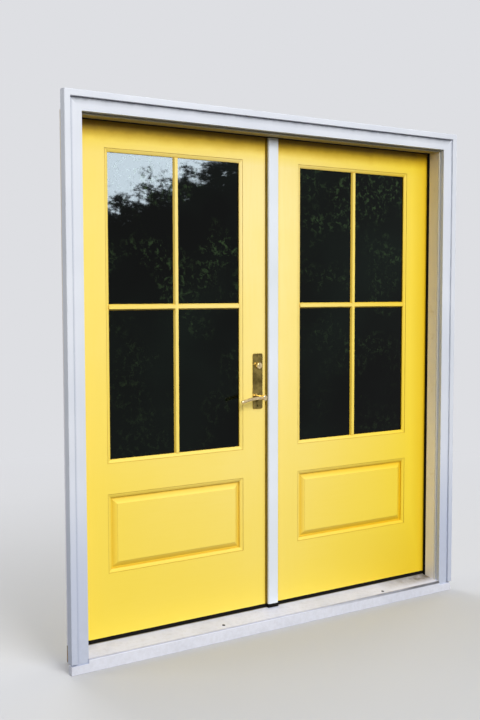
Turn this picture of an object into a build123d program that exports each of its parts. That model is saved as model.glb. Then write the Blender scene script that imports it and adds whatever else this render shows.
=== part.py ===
from build123d import *
import os

# French doors: an inward-opening pair of glazed leaves in its frame, in millimetres.
# X runs across the opening, -Y is the outdoor side, +Y is indoors and +Z is up.
# The origin is on the underside of the sill, midway between the leaves,
# in the plane where the casing meets the front edge of the jambs.

# Leaves
leaf_width = 914.4
leaf_height = 2004.3
leaf_thickness = 44.5
leaf_edge_ease = 1.2
hinge_gap = 3.0
head_gap = 3.0
meeting_gap = 4.5
stile_flat = 139.0
top_rail_flat = 110.3
mid_rail_flat = 120.0
bottom_rail_flat = 250.0
panel_opening_height = 312.0

# Moulding that is stuck on the stiles and rails around the glass and the panel
stick_width = 15.0
stick_quirk = 2.2
stick_quirk_width = 1.8
stick_lip = 1.0
stick_drop = 6.5
stick_swell = 0.7
seat_depth = 12.0

# Raised panel
panel_flat = 7.0
panel_bevel = 19.5
panel_step = 1.0
panel_recess = 1.0
panel_tongue = 12.0

# Sealed glass unit, its beads and the bars on it
pane_thickness = 4.0
pane_space = 14.0
pane_clearance = 2.0
spacer_width = 9.0
bar_base = 24.0
bar_face = 13.5
bar_height = 9.0

# Frame
jamb_depth = 120.0
jamb_thickness = 19.0
stop_width = 12.7
seal_depth = 16.0
seal_lap = 3.6
soft_clearance = 0.3

# Sill
leaf_lift = 83.0
sweep_height = 16.0
sweep_base = 5.0
sweep_flap = 3.0
sweep_fin = 2.4
sweep_fin_pitch = 12.0
sweep_inset = 1.0
nose_height = 50.5
nose_overhang = 2.0
nose_lip_drop = 1.0
deck_thickness = 2.6
saddle_lead = 4.5
deck_step = 0.7
cap_seat = 46.0
nosing_lead = 4.0
nosing_ease = 3.5
nosing_end_inset = 2.0
leg_foot = 33.0

# Casing and the raised band around its outer edge
casing_thickness = 24.0
casing_reveal = 8.7
casing_width = 65.0
casing_ease = 1.5
band_face = 24.8
band_proud = 10.0
band_wrap = 8.8
band_ease = 3.0
band_foot_gap = 10.0

# Astragal on the meeting edge of the passive leaf
stem_thickness = 6.5
flange_width = 52.4
flange_shift = 2.6
flange_thickness = 10.0
flange_standoff = 8.0
flange_nose_width = 9.0
flange_nose_depth = 6.0
flange_nose_swell = 1.4
astragal_seal_lap = 6.5
pad_inset = 1.0
astragal_head_clearance = 0.5

# Butt hinges
hinge_height = 102.0
hinge_plate = 3.0
hinge_leaf_depth = 38.0
hinge_corner = 6.0
knuckle_count = 5
knuckle_radius = 6.5
knuckle_clearance = 0.3
pin_radius = 3.0
pin_head_radius = 5.0
pin_running_clearance = 0.08
pin_offset = 7.0
pin_tip = 5.0
top_hinge_drop = 229.0
bottom_hinge_rise = 331.0

# Lock set
backset = 65.0
lever_height = 902.0
lock_spacing = 134.0
plate_width = 50.0
plate_margin = 50.0
plate_thickness = 4.0
plate_corner = 7.0
plate_bevel = 1.5
rose_radius = 16.0
rose_height = 3.0
neck_radius = 9.0
neck_clearance = 0.08
neck_depth = 8.0
lever_reach = 50.5
lever_length = 116.0
lever_droop = 12.0
lever_half_height = 7.0
lever_half_depth = 5.0
hub_half_depth = 9.0
hub_radius = 11.0
spindle_side = 8.0
cross_bore_radius = 19.0
edge_bore_radius = 13.0
case_clearance = 0.3
case_tail = 12.0
case_web = 9.0
front_height = 57.0
front_width = 25.4
front_thickness = 2.4
bolt_clearance = 0.4

# Latch bolt and dead bolt
latch_throw = 12.7
latch_width = 12.0
latch_height = 15.0
latch_length = 40.0
dead_throw = 25.4
dead_width = 12.0
dead_height = 20.0
dead_length = 40.0
bolt_inset = 0.5

# Key cylinder outdoors and thumb turn indoors
cylinder_radius = 15.5
cylinder_taper = 2.5
cylinder_height = 13.0
plug_radius = 9.0
plug_step = 0.8
keyway_width = 2.2
keyway_height = 9.0
keyway_depth = 6.0
turn_collar_radius = 12.0
turn_collar_height = 9.0
turn_length = 36.0
turn_width = 13.0
turn_thickness = 6.0
turn_stem_radius = 9.0
turn_end_clearance = 0.3
turn_stem_depth = 6.0
tailpiece_width = 5.0

# Strikes on the astragal
strike_height = 70.0
strike_width = 28.0
strike_thickness = 1.6
strike_swing_room = 8.5
pocket_clearance = 0.8
latch_pocket_room = 3.0
dead_pocket_room = 2.0

# Flush bolts in the passive leaf
flush_rod_radius = 5.0
flush_rod_length = 210.0
flush_rod_inset = 12.0
flush_bore_clearance = 0.4
flush_bolt_inset = 1.0
flush_throw_top = 20.0
flush_throw_bottom = 30.0
flush_plate_width = 22.0
flush_plate_height = 170.0
flush_slider = 8.0
flush_strike_width = 22.0
flush_strike_length = 60.0
flush_strike_thickness = 2.0
flush_socket_depth = 18.0

# Places that follow from the sizes above
face_y = jamb_depth - leaf_thickness
back_y = jamb_depth
mid_y = (face_y + back_y) / 2
meeting_x = (stem_thickness + meeting_gap) / 2
hinge_x = meeting_x + leaf_width
rebate_x = hinge_x + hinge_gap
stop_x = rebate_x - stop_width
jamb_outer_x = rebate_x + jamb_thickness
leaf_bottom = leaf_lift
leaf_top = leaf_bottom + leaf_height
rebate_z = leaf_top + head_gap
stop_z = rebate_z - stop_width
head_top = rebate_z + jamb_thickness
saddle_z = leaf_bottom - sweep_height - soft_clearance
stop_back_y = face_y - seal_depth
casing_x = stop_x + casing_reveal
casing_outer_x = casing_x + casing_width
casing_head_z = stop_z + casing_reveal
casing_top = casing_head_z + casing_width
band_x = casing_outer_x + band_wrap - band_face
band_outer_x = casing_outer_x + band_wrap
band_top = casing_top + band_wrap
nose_y = -casing_thickness - nose_overhang
nosing_y = -casing_thickness - nosing_lead
lip_z = nose_height - deck_thickness - nose_lip_drop
deck_back_z = saddle_z - deck_step
deck_back = face_y - saddle_lead
deck_slope = (deck_back_z - nose_height) / (deck_back - nose_y)
seat_y = face_y + seat_depth
inner_seat_y = back_y - seat_depth
opening_hinge_x = -(hinge_x - stile_flat)
opening_meeting_x = -(meeting_x + stile_flat)
glass_top = leaf_top - top_rail_flat
panel_bottom = leaf_bottom + bottom_rail_flat
panel_top = panel_bottom + panel_opening_height
glass_bottom = panel_top + mid_rail_flat
pane_inner_y = seat_y + 2 * pane_thickness + pane_space
pin_x = (hinge_x + rebate_x) / 2
pin_y = jamb_depth + pin_offset
hinge_levels = [
    leaf_top - top_hinge_drop,
    (leaf_top - top_hinge_drop + leaf_bottom + bottom_hinge_rise) / 2,
    leaf_bottom + bottom_hinge_rise,
]
lock_x = -(meeting_x + backset)
lever_z = leaf_bottom + lever_height
dead_z = lever_z + lock_spacing
stem_x = meeting_x - stem_thickness
flange_back_y = face_y - flange_standoff
flange_front_y = flange_back_y - flange_thickness
flange_left = flange_shift - flange_width / 2
flange_right = flange_shift + flange_width / 2
flange_top = stop_z - seal_lap - astragal_head_clearance
flush_x = meeting_x + flush_rod_inset


def block(x0, x1, y0, y1, z0, z1):
    return Pos((x0 + x1) / 2, (y0 + y1) / 2, (z0 + z1) / 2) * Box(x1 - x0, y1 - y0, z1 - z0)


def prism(points, direction, length):
    face = Face(Wire.make_polygon([Vector(*p) for p in points], close=True))
    return extrude(face, amount=length, dir=direction)


def prism_xz(points, y0, y1):
    return prism([(x, y0, z) for x, z in points], (0, 1, 0), y1 - y0)


def prism_yz(points, x0, x1):
    return prism([(x0, y, z) for y, z in points], (1, 0, 0), x1 - x0)


def prism_xy(points, z0, z1):
    return prism([(x, y, z0) for x, y in points], (0, 0, 1), z1 - z0)


def rod_y(x, z, radius, y0, y1):
    return Pos(x, (y0 + y1) / 2, z) * Rot(90, 0, 0) * Cylinder(radius, y1 - y0)


def rod_x(y, z, radius, x0, x1):
    return Pos((x0 + x1) / 2, y, z) * Rot(0, 90, 0) * Cylinder(radius, x1 - x0)


def rod_z(x, y, radius, z0, z1):
    return Pos(x, y, (z0 + z1) / 2) * Cylinder(radius, z1 - z0)


def flip(shape):
    return mirror(shape, about=Plane.YZ)


def edges_on(shape, along, axis, value):
    """Edges of a shape that run along one axis, at one value of another."""
    return shape.edges().filter_by(along).filter_by_position(axis, value - 0.1, value + 0.1)


def mitre_sides(x0, x1, z0, z1, width):
    """Four mitred strips, each this wide, just inside a rectangle."""
    a, b, c, d = x0 + width, x1 - width, z0 + width, z1 - width
    return {
        "bottom": [(x0, z0), (x1, z0), (b, c), (a, c)],
        "top": [(x0, z1), (x1, z1), (b, d), (a, d)],
        "left": [(x0, z0), (a, c), (a, d), (x0, z1)],
        "right": [(x1, z0), (b, c), (b, d), (x1, z1)],
    }


def moulding_void(x0, x1, z0, z1, surface_y, inward):
    """What the moulding plane takes away around one opening, on one face of the leaf."""
    margin = 1.0

    def place(side, w, depth):
        y = surface_y + inward * depth
        spots = {
            "bottom": (x0, y, z0 + w),
            "top": (x0, y, z1 - w),
            "left": (x0 + w, y, z0),
            "right": (x1 - w, y, z0),
        }
        return Vector(*spots[side])

    low_y, high_y = sorted((surface_y - inward * margin, surface_y + inward * stick_drop))
    chord = (stick_lip + stick_drop) / 2
    middle = (stick_quirk_width + stick_width) / 2
    void = []
    for side, strip in mitre_sides(x0, x1, z0, z1, stick_width).items():
        start = place(side, 0, -margin)
        quirk = place(side, 0, stick_quirk)
        floor = place(side, stick_quirk_width, stick_quirk)
        lip = place(side, stick_quirk_width, stick_lip)
        swell = place(side, middle, chord - stick_swell)
        edge = place(side, stick_width, stick_drop)
        end = place(side, stick_width, -margin)
        outline = Wire([
            Line(start, quirk), Line(quirk, floor), Line(floor, lip),
            ThreePointArc(lip, swell, edge), Line(edge, end), Line(end, start),
        ])
        along_x = side in ("bottom", "top")
        run = extrude(
            Face(outline),
            amount=(x1 - x0) if along_x else (z1 - z0),
            dir=(1, 0, 0) if along_x else (0, 0, 1),
        )
        void.append(run & prism_xz(strip, low_y, high_y))
    return void


def glass_voids():
    x0, x1, z0, z1 = opening_hinge_x, opening_meeting_x, glass_bottom, glass_top
    rebate = block(x0, x1, seat_y, back_y, z0, z1)
    return moulding_void(x0, x1, z0, z1, face_y, 1) + [rebate]


def panel_voids():
    x0, x1, z0, z1 = opening_hinge_x, opening_meeting_x, panel_bottom, panel_top
    groove = block(x0, x1, seat_y, inner_seat_y, z0, z1)
    outdoor = moulding_void(x0, x1, z0, z1, face_y, 1)
    indoor = moulding_void(x0, x1, z0, z1, back_y, -1)
    return outdoor + indoor + [groove]


def leaf_members():
    """Stiles and rails of the left leaf, mitred where their mouldings meet."""
    a, b = opening_hinge_x, opening_meeting_x
    s = stick_width
    inner_a, inner_b = a + s, b - s
    stile_steps = [
        (panel_bottom, 0), (panel_bottom + s, s), (panel_top - s, s), (panel_top, 0),
        (glass_bottom, 0), (glass_bottom + s, s), (glass_top - s, s), (glass_top, 0),
    ]
    hinge_side = [(-hinge_x, leaf_bottom), (a, leaf_bottom)]
    hinge_side += [(a + step, z) for z, step in stile_steps]
    hinge_side += [(a, leaf_top), (-hinge_x, leaf_top)]
    meeting_side = [(-meeting_x, leaf_bottom), (b, leaf_bottom)]
    meeting_side += [(b - step, z) for z, step in stile_steps]
    meeting_side += [(b, leaf_top), (-meeting_x, leaf_top)]
    regions = {
        "hinge_stile": hinge_side,
        "meeting_stile": meeting_side,
        "top_rail": [(a, leaf_top), (b, leaf_top), (b, glass_top), (inner_b, glass_top - s),
                     (inner_a, glass_top - s), (a, glass_top)],
        "mid_rail": [(a, glass_bottom), (inner_a, glass_bottom + s), (inner_b, glass_bottom + s),
                     (b, glass_bottom), (b, panel_top), (inner_b, panel_top - s),
                     (inner_a, panel_top - s), (a, panel_top)],
        "bottom_rail": [(a, leaf_bottom), (b, leaf_bottom), (b, panel_bottom),
                        (inner_b, panel_bottom + s), (inner_a, panel_bottom + s), (a, panel_bottom)],
    }
    around_glass, around_panel = glass_voids(), panel_voids()
    voids = {
        "hinge_stile": around_glass + around_panel,
        "meeting_stile": around_glass + around_panel,
        "top_rail": around_glass,
        "mid_rail": around_glass + around_panel,
        "bottom_rail": around_panel,
    }
    outer_edges = {"hinge_stile": -hinge_x, "meeting_stile": -meeting_x}
    members = {}
    for name, region in regions.items():
        solid = prism_xz(region, face_y, back_y)
        if name in outer_edges:
            solid = fillet(edges_on(solid, Axis.Z, Axis.X, outer_edges[name]), leaf_edge_ease)
        members[name] = solid - voids[name]
    return members


def raised_panel():
    inset = stick_width - panel_tongue
    x0, x1 = opening_hinge_x + inset, opening_meeting_x - inset
    z0, z1 = panel_bottom + inset, panel_top - inset
    solid = block(x0, x1, seat_y, inner_seat_y, z0, z1)
    foot = stick_width + panel_flat
    crest = foot + panel_bevel
    mid_x = (opening_hinge_x + opening_meeting_x) / 2
    mid_z = (panel_bottom + panel_top) / 2
    width = opening_meeting_x - opening_hinge_x
    height = panel_top - panel_bottom
    for surface, inward in ((face_y, 1), (back_y, -1)):
        base_y = surface + inward * seat_depth
        step_y = surface + inward * (panel_recess + panel_step)
        field_y = surface + inward * panel_recess
        base = Plane((mid_x, base_y, mid_z), x_dir=(1, 0, 0), z_dir=(0, -inward, 0))
        crown = Plane((mid_x, step_y, mid_z), x_dir=(1, 0, 0), z_dir=(0, -inward, 0))
        slope = loft([
            base * Rectangle(width - 2 * foot, height - 2 * foot),
            crown * Rectangle(width - 2 * crest, height - 2 * crest),
        ])
        low_y, high_y = sorted((step_y, field_y))
        field = block(
            mid_x - width / 2 + crest, mid_x + width / 2 - crest, low_y, high_y,
            mid_z - height / 2 + crest, mid_z + height / 2 - crest,
        )
        solid = solid + slope + field
    return solid


def glass_box(inset, y0, y1):
    return block(
        opening_hinge_x + inset, opening_meeting_x - inset, y0, y1, glass_bottom + inset, glass_top - inset,
    )


def panes():
    outer = glass_box(pane_clearance, seat_y, seat_y + pane_thickness)
    inner = glass_box(pane_clearance, pane_inner_y - pane_thickness, pane_inner_y)
    return [outer, inner]


def spacer():
    y0, y1 = seat_y + pane_thickness, pane_inner_y - pane_thickness
    return glass_box(pane_clearance, y0, y1) - glass_box(pane_clearance + spacer_width, y0, y1)


def grille(surface_y, outward):
    """Vertical and horizontal bar on one side of the glass, with bevelled edges."""
    mid_x = (opening_hinge_x + opening_meeting_x) / 2
    mid_z = (glass_bottom + glass_top) / 2
    crest_y = surface_y + outward * bar_height
    base, face = bar_base / 2, bar_face / 2
    section = [(-base, surface_y), (base, surface_y), (face, crest_y), (-face, crest_y)]
    upright = prism_xy(
        [(mid_x + w, y) for w, y in section], glass_bottom + stick_width, glass_top - stick_width,
    )
    x0, x1 = opening_hinge_x + stick_width, opening_meeting_x - stick_width
    cross = prism_yz([(y, mid_z + w) for w, y in section], x0, x1)
    return upright + cross


def glazing_beads():
    x0, x1, z0, z1 = opening_hinge_x, opening_meeting_x, glass_bottom, glass_top
    void = moulding_void(x0, x1, z0, z1, back_y, -1)
    beads = []
    for strip in mitre_sides(x0, x1, z0, z1, stick_width).values():
        beads.append(prism_xz(strip, pane_inner_y, back_y) - void)
    return beads


def door_sweep():
    """Rubber sweep under the left leaf: a base with a front flap and two inner fins."""
    foot = leaf_bottom - sweep_height
    root = leaf_bottom - sweep_base
    rear = back_y - sweep_inset
    flap_y = face_y + sweep_flap
    section = [(face_y, leaf_bottom), (face_y, foot), (flap_y, foot), (flap_y, root)]
    for index in (1, 2):
        y = face_y + index * sweep_fin_pitch
        section += [(y, root), (y, foot), (y + sweep_fin, foot), (y + sweep_fin, root)]
    section += [(rear, root), (rear, leaf_bottom)]
    return prism_yz(section, -hinge_x + sweep_inset, -meeting_x - sweep_inset)


def hinge_plate_blank(x0, x1, y1, z):
    """Hinge plate, or its recess, with its two inner corners rounded."""
    y0, half = jamb_depth - hinge_leaf_depth, hinge_height / 2
    blank = block(x0, x1, y0, y1, z - half, z + half)
    return fillet(edges_on(blank, Axis.X, Axis.Y, y0), hinge_corner)


def hinge_parts(z):
    """One butt hinge of the right leaf: jamb leaf, door leaf and pin."""
    low, high = z - hinge_height / 2, z + hinge_height / 2
    pitch = hinge_height / knuckle_count
    jamb_part = hinge_plate_blank(rebate_x, rebate_x + hinge_plate, jamb_depth, z)
    door_part = hinge_plate_blank(hinge_x - hinge_plate, hinge_x, jamb_depth, z)
    for index in range(knuckle_count):
        bottom = low + index * pitch
        top = bottom + pitch
        if index % 2 == 0:
            arm = block(rebate_x, rebate_x + hinge_plate, jamb_depth, pin_y, bottom, top)
            jamb_part = jamb_part + (arm + rod_z(pin_x, pin_y, knuckle_radius, bottom, top))
        else:
            bottom, top = bottom + knuckle_clearance, top - knuckle_clearance
            arm = block(hinge_x - hinge_plate, hinge_x, jamb_depth, pin_y, bottom, top)
            door_part = door_part + (arm + rod_z(pin_x, pin_y, knuckle_radius, bottom, top))
    jamb_part = jamb_part - rod_z(pin_x, pin_y, pin_radius, low, high)
    door_part = door_part - rod_z(pin_x, pin_y, pin_radius + pin_running_clearance, low, high)
    pin = rod_z(pin_x, pin_y, pin_radius, low, high)
    for end, way in ((high, 1), (low, -1)):
        tip = Pos(pin_x, pin_y, end + way * pin_tip / 2) * Cylinder(pin_head_radius, pin_tip)
        rims = tip.edges().filter_by(GeomType.CIRCLE).sort_by(Axis.Z)
        pin = pin + fillet(rims[-1] if way > 0 else rims[0], pin_head_radius / 2)
    return jamb_part, door_part, pin


def hinge_mortise(x0, x1):
    """Plate recesses for the three hinges in the right jamb or the right leaf's edge."""
    return [hinge_plate_blank(x0, x1, jamb_depth + 1.0, z) for z in hinge_levels]


# Sill
def deck_z(y):
    return nose_height + (y - nose_y) * deck_slope


def sill_deck():
    lip = nose_overhang
    low = nose_height - deck_thickness
    section = [
        (nose_y, nose_height), (deck_back, deck_back_z), (deck_back, deck_back_z - deck_thickness),
        (nose_y + lip, low + lip * deck_slope), (nose_y + lip, lip_z), (nose_y, lip_z),
    ]
    solid = prism_yz(section, -jamb_outer_x, jamb_outer_x)
    for side in (-1, 1):
        x0, x1 = sorted((side * casing_x, side * (jamb_outer_x + 1.0)))
        solid = solid - block(x0, x1, nose_y - 1.0, 0, 0, deck_back_z)
    return solid


def sill_base():
    low = deck_thickness
    section = [
        (0, 0), (jamb_depth, 0), (jamb_depth, cap_seat), (deck_back, cap_seat),
        (deck_back, deck_back_z - low), (0, deck_z(0) - low),
    ]
    return prism_yz(section, -jamb_outer_x, jamb_outer_x)


def threshold_cap():
    section = [(deck_back, cap_seat), (jamb_depth, cap_seat), (jamb_depth, saddle_z), (deck_back, saddle_z)]
    return prism_yz(section, -jamb_outer_x, jamb_outer_x)


def sill_nosing():
    """Board with a ledge at its front, where the lip of the deck stands."""
    back_of_lip = -casing_thickness
    section = [
        (nosing_y, 0), (0, 0), (0, deck_z(0) - deck_thickness),
        (back_of_lip, deck_z(back_of_lip) - deck_thickness), (back_of_lip, lip_z), (nosing_y, lip_z),
    ]
    half = band_outer_x - nosing_end_inset
    solid = prism_yz(section, -half, half)
    for side in (-1, 1):
        x0, x1 = sorted((side * casing_x, side * (band_outer_x + 1.0)))
        solid = solid - block(x0, x1, nosing_y - 1.0, 1.0, leg_foot, deck_back_z)
    front_edges = edges_on(solid, Axis.X, Axis.Y, nosing_y)
    return fillet([e for e in front_edges if abs(e.center().Z - lip_z) < 0.1], nosing_ease)


def sill_space():
    """Everything that the sill fills, to scribe the feet of the jambs and seals to it."""
    section = [
        (-casing_thickness * 2, 0), (jamb_depth + 1.0, 0), (jamb_depth + 1.0, saddle_z),
        (deck_back, saddle_z), (deck_back, deck_back_z), (0, deck_z(0)), (-casing_thickness * 2, deck_z(0)),
    ]
    return prism_yz(section, -band_outer_x, band_outer_x)


# Jambs
def jamb_right():
    board = block(rebate_x, jamb_outer_x, 0, jamb_depth, 0, head_top)
    stop = block(stop_x, rebate_x, 0, stop_back_y, 0, stop_z)
    return board + stop - sill_space() - hinge_mortise(rebate_x, rebate_x + hinge_plate)


def jamb_head():
    board = block(-rebate_x, rebate_x, 0, jamb_depth, rebate_z, head_top)
    stop = block(-rebate_x, rebate_x, 0, stop_back_y, stop_z, rebate_z)
    return board + stop - bolt_socket(rebate_z, rebate_z + flush_socket_depth) - head_strike_blank()


def seal_section(low, high):
    """Bulb seal in the corner of a rebate: (across, y) points and the arc of its bulb."""
    y0, y1 = stop_back_y, face_y - soft_clearance
    return Wire([
        Line((high, y0), (high, y1)),
        Line((high, y1), (low + seal_lap, y1)),
        ThreePointArc((low + seal_lap, y1), (low, (y0 + y1) / 2), (low + seal_lap, y0)),
        Line((low + seal_lap, y0), (high, y0)),
    ])


def seal_right():
    profile = Face(seal_section(stop_x - seal_lap, rebate_x))
    run = extrude(profile, amount=rebate_z, dir=(0, 0, 1)) - sill_space()
    x0, z1 = stop_x - seal_lap, stop_z - seal_lap
    region = [(x0 - 1, 0), (rebate_x, 0), (rebate_x, rebate_z), (x0 - 1, z1 - 1)]
    return run & prism_xz(region, 0, jamb_depth)


def seal_head():
    profile = Face(seal_section(stop_z - seal_lap, rebate_z))
    standing = Plane(origin=(-rebate_x, 0, 0), x_dir=(0, 0, 1), z_dir=(-1, 0, 0))
    run = extrude(standing * profile, amount=2 * rebate_x, dir=(1, 0, 0))
    x0, z1 = stop_x - seal_lap, stop_z - seal_lap
    region = [(-x0 + 1, z1 - 1), (x0 - 1, z1 - 1), (rebate_x, rebate_z), (-rebate_x, rebate_z)]
    return run & prism_xz(region, 0, jamb_depth)


# Casing
def casing_right():
    region = [
        (casing_x, leg_foot), (casing_outer_x, leg_foot), (casing_outer_x, casing_top),
        (casing_x, casing_head_z),
    ]
    solid = prism_xz(region, -casing_thickness, 0)
    return fillet(edges_on(solid, Axis.Z, Axis.Y, -casing_thickness).sort_by(Axis.X)[0], casing_ease)


def casing_head():
    region = [
        (-casing_x, casing_head_z), (casing_x, casing_head_z),
        (casing_outer_x, casing_top), (-casing_outer_x, casing_top),
    ]
    solid = prism_xz(region, -casing_thickness, 0)
    return fillet(edges_on(solid, Axis.X, Axis.Y, -casing_thickness).sort_by(Axis.Z)[0], casing_ease)


def band_section(inner, outer):
    """L-shaped band over the face and outer edge of the casing: (across, y) points."""
    front = -casing_thickness - band_proud
    wrap = outer - band_wrap
    r = band_ease
    bend = r * (1 - 2 ** -0.5)
    return Wire([
        Line((inner, -casing_thickness), (inner, front + r)),
        ThreePointArc((inner, front + r), (inner + bend, front + bend), (inner + r, front)),
        Line((inner + r, front), (outer - r, front)),
        ThreePointArc((outer - r, front), (outer - bend, front + bend), (outer, front + r)),
        Line((outer, front + r), (outer, 0)),
        Line((outer, 0), (wrap, 0)),
        Line((wrap, 0), (wrap, -casing_thickness)),
        Line((wrap, -casing_thickness), (inner, -casing_thickness)),
    ])


def backband_right():
    foot = leg_foot + band_foot_gap
    profile = Pos(0, 0, foot) * Face(band_section(band_x, band_outer_x))
    run = extrude(profile, amount=casing_top, dir=(0, 0, 1))
    region = [(casing_x, 0), (band_outer_x, 0), (band_outer_x, band_top), (casing_x, casing_head_z)]
    return run & prism_xz(region, -casing_thickness * 2, 0)


def backband_head():
    shift = casing_head_z - casing_x
    profile = Face(band_section(band_x + shift, band_outer_x + shift))
    standing = Plane(origin=(-band_outer_x, 0, 0), x_dir=(0, 0, 1), z_dir=(-1, 0, 0))
    run = extrude(standing * profile, amount=2 * band_outer_x, dir=(1, 0, 0))
    region = [
        (-casing_x, casing_head_z), (casing_x, casing_head_z),
        (band_outer_x, band_top), (-band_outer_x, band_top),
    ]
    return run & prism_xz(region, -casing_thickness * 2, 0)


# Astragal
def strike_cut(z, half_height, y0, y1, depth_x):
    return block(stem_x - 1.0, depth_x, y0, y1, z - half_height, z + half_height)


def latch_pocket(depth_x):
    half = latch_height / 2 + pocket_clearance
    y0 = mid_y - latch_width / 2 - pocket_clearance
    y1 = mid_y + latch_width / 2 + strike_swing_room
    return strike_cut(lever_z, half, y0, y1, depth_x)


def dead_pocket(depth_x):
    half = dead_height / 2 + pocket_clearance
    half_y = dead_width / 2 + pocket_clearance
    return strike_cut(dead_z, half, mid_y - half_y, mid_y + half_y, depth_x)


def strike_blank(z):
    return block(
        stem_x, stem_x + strike_thickness, mid_y - strike_width / 2, mid_y + strike_width / 2 + 2.0,
        z - strike_height / 2, z + strike_height / 2,
    )


def flush_slot(z, travel):
    """Slot in the edge for the finger piece of a flush bolt, from its rest to its throw."""
    half = flush_slider / 2 + flush_bore_clearance
    low, high = sorted((z, z + travel))
    return block(stem_x - 1.0, flush_x, mid_y - half, mid_y + half, low - half, high + half)


flush_bolts = {
    "top": {"end": leaf_top - flush_bolt_inset, "way": 1, "throw": flush_throw_top},
    "bottom": {"end": leaf_bottom + flush_bolt_inset, "way": -1, "throw": flush_throw_bottom},
}
for flush in flush_bolts.values():
    flush["slider_z"] = flush["end"] - flush["way"] * (flush_rod_length - flush_slider)
    flush["plate_z"] = flush["slider_z"] + flush["way"] * flush["throw"] / 2


def flush_plate_blank(flush):
    half = flush_plate_height / 2
    return block(
        stem_x, stem_x + strike_thickness, mid_y - flush_plate_width / 2, mid_y + flush_plate_width / 2,
        flush["plate_z"] - half, flush["plate_z"] + half,
    )


def flush_bolt(flush):
    tail = flush["end"] - flush["way"] * flush_rod_length
    low, high = sorted((flush["end"], tail))
    rod = rod_z(flush_x, mid_y, flush_rod_radius, low, high)
    tip = rod.edges().filter_by(GeomType.CIRCLE).sort_by(Axis.Z)
    rod = chamfer(tip[-1] if flush["way"] > 0 else tip[0], 1.5)
    z, half = flush["slider_z"], flush_slider / 2
    slider = block(stem_x + 0.4, flush_x, mid_y - half, mid_y + half, z - half, z + half)
    return rod + slider


def flush_bores():
    cuts = []
    for flush in flush_bolts.values():
        tail = flush["end"] - flush["way"] * (flush_rod_length + flush_bore_clearance)
        low, high = sorted((flush["end"] + flush["way"] * 5.0, tail))
        cuts.append(rod_z(flush_x, mid_y, flush_rod_radius + flush_bore_clearance, low, high))
        cuts.append(flush_slot(flush["slider_z"], flush["way"] * flush["throw"]))
    return cuts


def astragal():
    """T-shaped bar; the long edges of its flange are rounded over."""
    left, right, front = flange_left, flange_right, flange_front_y
    wide, deep = flange_nose_width, flange_nose_depth
    bend_x, bend_y = wide / 2 - flange_nose_swell, deep / 2 - flange_nose_swell
    outline = Wire([
        Line((left, flange_back_y), (left, front + deep)),
        ThreePointArc((left, front + deep), (left + bend_x, front + bend_y), (left + wide, front)),
        Line((left + wide, front), (right - wide, front)),
        ThreePointArc((right - wide, front), (right - bend_x, front + bend_y), (right, front + deep)),
        Line((right, front + deep), (right, face_y)),
        Line((right, face_y), (meeting_x, face_y)),
        Line((meeting_x, face_y), (meeting_x, back_y)),
        Line((meeting_x, back_y), (stem_x, back_y)),
        Line((stem_x, back_y), (stem_x, flange_back_y)),
        Line((stem_x, flange_back_y), (left, flange_back_y)),
    ])
    bar = extrude(Pos(0, 0, leaf_bottom) * Face(outline), amount=leaf_top - leaf_bottom, dir=(0, 0, 1))
    notch = block(left - 1.0, right + 1.0, front - 1.0, face_y, flange_top, leaf_top + 1.0)
    cuts = [notch, latch_pocket(meeting_x), dead_pocket(meeting_x)]
    cuts += [strike_blank(lever_z), strike_blank(dead_z)]
    for flush in flush_bolts.values():
        cuts.append(flush_plate_blank(flush))
        cuts.append(flush_slot(flush["slider_z"], flush["way"] * flush["throw"]))
    return bar - cuts


def astragal_seal():
    """Bulb seal behind the flange, and the pad that closes its foot."""
    y0, y1 = flange_back_y, face_y - soft_clearance
    tip, right = flange_left - astragal_seal_lap, stem_x
    start = tip + (y1 - y0) / 2
    section = Wire([
        Line((right, y0), (right, y1)),
        Line((right, y1), (start, y1)),
        ThreePointArc((start, y1), (tip, (y0 + y1) / 2), (start, y0)),
        Line((start, y0), (right, y0)),
    ])
    bulb = extrude(Pos(0, 0, leaf_bottom) * Face(section), amount=flange_top - leaf_bottom, dir=(0, 0, 1))
    pad_y0, pad_y1 = flange_front_y + pad_inset, face_y - pad_inset
    pad_z = saddle_z + soft_clearance
    pad = block(flange_left, flange_right, pad_y0, pad_y1, pad_z, leaf_bottom)
    return [bulb, pad]


def lock_strikes():
    latch_strike = strike_blank(lever_z) - latch_pocket(meeting_x)
    dead_strike = strike_blank(dead_z) - dead_pocket(meeting_x)
    return [latch_strike, dead_strike]


def flush_plates():
    return [
        flush_plate_blank(flush) - flush_slot(flush["slider_z"], flush["way"] * flush["throw"])
        for flush in flush_bolts.values()
    ]


def flush_strike_blank(z0, z1):
    a, b = flush_strike_length / 2, flush_strike_width / 2
    return block(flush_x - a, flush_x + a, mid_y - b, mid_y + b, z0, z1)


def head_strike_blank():
    return flush_strike_blank(rebate_z, rebate_z + flush_strike_thickness)


def sill_strike_blank():
    return flush_strike_blank(saddle_z - flush_strike_thickness, saddle_z)


def bolt_socket(z0, z1):
    return rod_z(flush_x, mid_y, flush_rod_radius + flush_bore_clearance, z0, z1)


def sill_socket():
    return bolt_socket(saddle_z - flush_socket_depth, saddle_z + 1.0)


def flush_strikes():
    head = head_strike_blank() - bolt_socket(rebate_z - 1.0, rebate_z + flush_socket_depth)
    return [head, sill_strike_blank() - sill_socket()]


# Lock set
def case_front(z):
    """Front plate of a tubular case, let flush into the edge of the leaf."""
    y0, y1 = mid_y - front_width / 2, mid_y + front_width / 2
    half = front_height / 2
    return block(-meeting_x - front_thickness, -meeting_x, y0, y1, z - half, z + half)


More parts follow.
